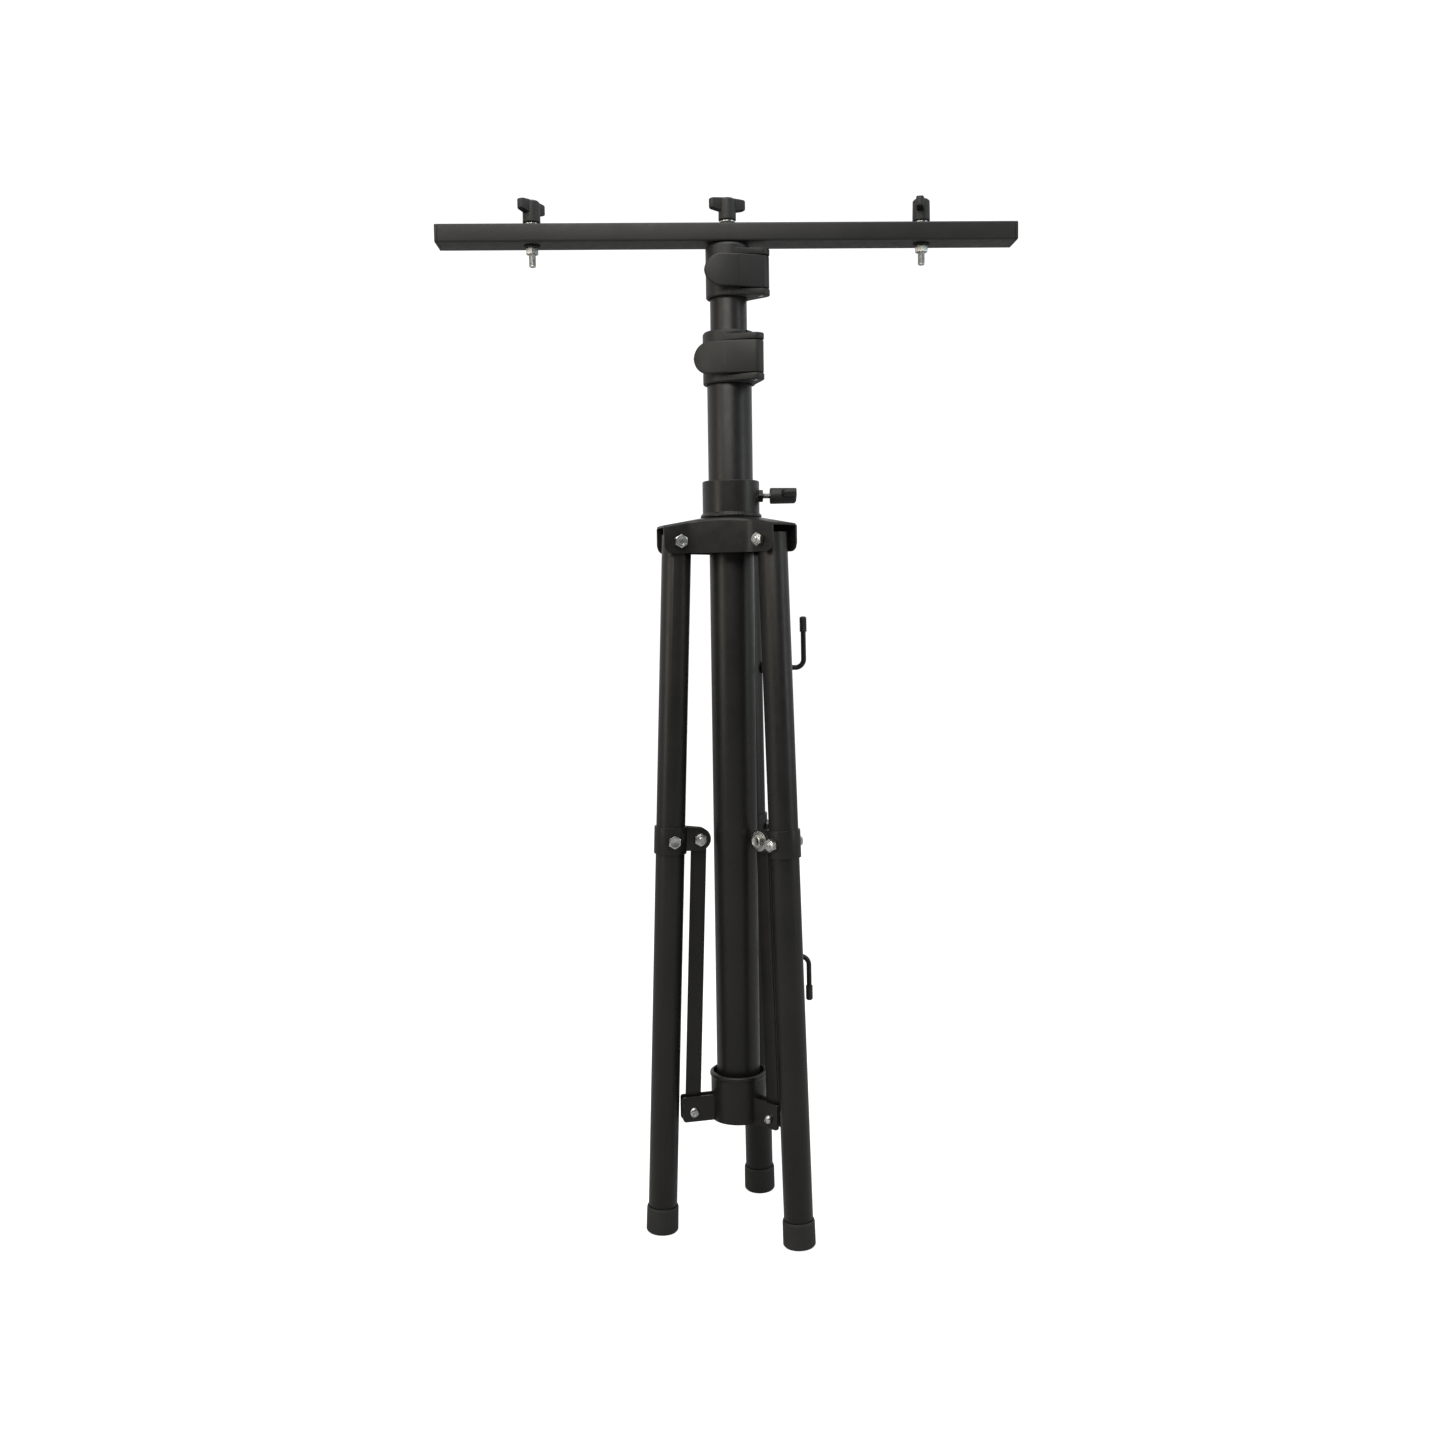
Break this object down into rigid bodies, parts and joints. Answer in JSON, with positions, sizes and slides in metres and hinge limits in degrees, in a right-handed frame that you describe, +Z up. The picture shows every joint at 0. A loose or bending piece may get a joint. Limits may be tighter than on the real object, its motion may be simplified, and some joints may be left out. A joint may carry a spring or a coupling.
{
  "type": "folding tripod stand with t-bar",
  "caption": "Folding steel tripod stand, legs folded, with telescoping tubes, lever clamps, cable hooks and a crossbar that carries wing bolts.",
  "frame": {"origin": "middle of the footprint, on the surface the feet stand on", "axes": "+Z up, +X along the T-bar, +Y towards the leg that carries the cable hooks"},
  "size_m": [0.6406, 0.1956, 1.17],
  "materials": {
    "tube_paint": "satin black powder coat",
    "bar_paint": "satin black powder coat",
    "stamping_paint": "satin black powder coat",
    "clamp_plastic": "fine-grained matte black",
    "knob_plastic": "fine-grained matte black",
    "rubber": "matte black",
    "hook_tip": "soft matte black",
    "zinc": "bright zinc plate"
  },
  "bodies": {
    "column": {"column_tube": "tube_paint", "bottom_collar": "stamping_paint", "collar_liner": "clamp_plastic", "lower_clamp_body": "clamp_plastic", "lower_clamp_pin": "zinc", "lug_screw_left": "zinc", "lug_screw_right": "zinc", "lug_screw_rear": "zinc"},
    "brace_left": {"brace_left": "stamping_paint"},
    "brace_right": {"brace_right": "stamping_paint"},
    "brace_rear": {"brace_rear": "stamping_paint"},
    "leg_left": {"leg_left": "tube_paint", "foot_left": "rubber", "leg_clamp_left": "stamping_paint", "leg_clamp_bolt_left": "zinc", "brace_bolt_left": "zinc"},
    "leg_right": {"leg_right": "tube_paint", "foot_right": "rubber", "leg_clamp_right": "stamping_paint", "leg_clamp_bolt_right": "zinc", "brace_bolt_right": "zinc"},
    "leg_rear": {"leg_rear": "tube_paint", "foot_rear": "rubber", "leg_clamp_rear": "stamping_paint", "leg_clamp_bolt_rear": "zinc", "brace_bolt_rear": "zinc", "cable_hook_upper": "tube_paint", "cable_hook_lower": "tube_paint", "hook_tip_upper": "hook_tip", "hook_tip_lower": "hook_tip"},
    "hub": {"hub_spider": "stamping_paint", "hub_ring": "stamping_paint", "hub_liner": "clamp_plastic", "hub_bolt_left": "zinc", "hub_bolt_right": "zinc", "hub_bolt_rear": "zinc"},
    "hub_screw": {"hub_screw_stud": "zinc", "hub_screw_knob": "knob_plastic"},
    "mid_mast": {"mid_tube": "tube_paint", "mid_bush": "clamp_plastic", "upper_clamp_body": "clamp_plastic", "upper_clamp_pin": "zinc"},
    "top_mast": {"top_tube": "tube_paint", "top_bush": "clamp_plastic", "top_insert": "zinc"},
    "tbar": {"tbar": "bar_paint", "tbar_cap_left": "clamp_plastic", "tbar_cap_right": "clamp_plastic", "bar_nut_left": "zinc", "bar_nut_right": "zinc", "bar_washer_left": "clamp_plastic", "bar_washer_right": "clamp_plastic"},
    "wing_left": {"wing_knob_left": "knob_plastic", "wing_stud_left": "zinc"},
    "wing_centre": {"wing_knob_centre": "knob_plastic", "wing_stud_centre": "zinc"},
    "wing_right": {"wing_knob_right": "knob_plastic", "wing_stud_right": "zinc"},
    "lower_lever": {"lower_clamp_lever": "clamp_plastic"},
    "upper_lever": {"upper_clamp_lever": "clamp_plastic"}
  },
  "joints": [
    {"name": "legs_spread", "type": "hinge", "parent": "column", "child": "brace_left", "pos_m": [-0.05418, -0.02217, 0.139], "axis": [0.2164, -0.9763, 0], "range_deg": [0, 37.6]},
    {"name": "brace_right_swing", "type": "hinge", "parent": "column", "child": "brace_right", "pos_m": [0.0375, -0.05107, 0.139], "axis": [0.7373, 0.6756, 0], "range_deg": [0, 37.7]},
    {"name": "brace_rear_swing", "type": "hinge", "parent": "column", "child": "brace_rear", "pos_m": [0.01669, 0.04278, 0.139], "axis": [-0.9537, 0.3007, 0], "range_deg": [0, 37.7]},
    {"name": "leg_left_swing", "type": "hinge", "parent": "brace_left", "child": "leg_left", "pos_m": [-0.04236, -0.01954, 0.45648], "axis": [0.2164, -0.9763, 0], "range_deg": [-72.9, 0]},
    {"name": "leg_right_swing", "type": "hinge", "parent": "brace_right", "child": "leg_right", "pos_m": [0.02931, -0.04214, 0.45648], "axis": [0.7373, 0.6756, 0], "range_deg": [-72.9, 0]},
    {"name": "leg_rear_swing", "type": "hinge", "parent": "brace_rear", "child": "leg_rear", "pos_m": [0.01305, 0.03122, 0.45648], "axis": [-0.9537, 0.3007, 0], "range_deg": [-72.9, 0]},
    {"name": "hub_level", "type": "hinge", "parent": "leg_left", "child": "hub", "pos_m": [-0.062, -0.0239, 0.7925], "axis": [0.2164, -0.9763, 0], "range_deg": [0, 35.3]},
    {"name": "hub_screw_turn", "type": "hinge", "parent": "hub", "child": "hub_screw", "pos_m": [0.05, -0.01015, 0.8435], "axis": [1, 0, 0], "continuous": true},
    {"name": "mid_tube_slide", "type": "slide", "parent": "column", "child": "mid_mast", "axis": [0, 0, 1], "range_m": [-0.036, 0.6]},
    {"name": "top_tube_slide", "type": "slide", "parent": "mid_mast", "child": "top_mast", "axis": [0, 0, 1], "range_m": [0, 0.54]},
    {"name": "tbar_swivel", "type": "hinge", "parent": "top_mast", "child": "tbar", "pos_m": [0, -0.01015, 1.1195], "axis": [0, 0, 1], "continuous": true},
    {"name": "wing_left_turn", "type": "hinge", "parent": "tbar", "child": "wing_left", "pos_m": [-0.216, -0.01015, 1.1395], "axis": [0, 0, 1], "continuous": true},
    {"name": "wing_centre_turn", "type": "hinge", "parent": "tbar", "child": "wing_centre", "pos_m": [0, -0.01015, 1.1395], "axis": [0, 0, 1], "continuous": true},
    {"name": "wing_right_turn", "type": "hinge", "parent": "tbar", "child": "wing_right", "pos_m": [0.216, -0.01015, 1.1395], "axis": [0, 0, 1], "continuous": true},
    {"name": "lower_lever_open", "type": "hinge", "parent": "column", "child": "lower_lever", "pos_m": [0.02719, -0.04256, 0.9915], "axis": [0, 0, 1], "range_deg": [0, 100]},
    {"name": "upper_lever_open", "type": "hinge", "parent": "mid_mast", "child": "upper_lever", "pos_m": [0.03552, -0.02308, 1.0855], "axis": [0, 0, 1], "range_deg": [0, 100]}
  ],
  "couplings": [
    {"joint": "brace_right_swing", "follows": "legs_spread", "ratio": 1},
    {"joint": "brace_rear_swing", "follows": "legs_spread", "ratio": 1},
    {"joint": "leg_left_swing", "follows": "legs_spread", "ratio": -1.9337},
    {"joint": "leg_right_swing", "follows": "legs_spread", "ratio": -1.9337},
    {"joint": "leg_rear_swing", "follows": "legs_spread", "ratio": -1.9337},
    {"joint": "hub_level", "follows": "legs_spread", "ratio": 0.9337}
  ]
}
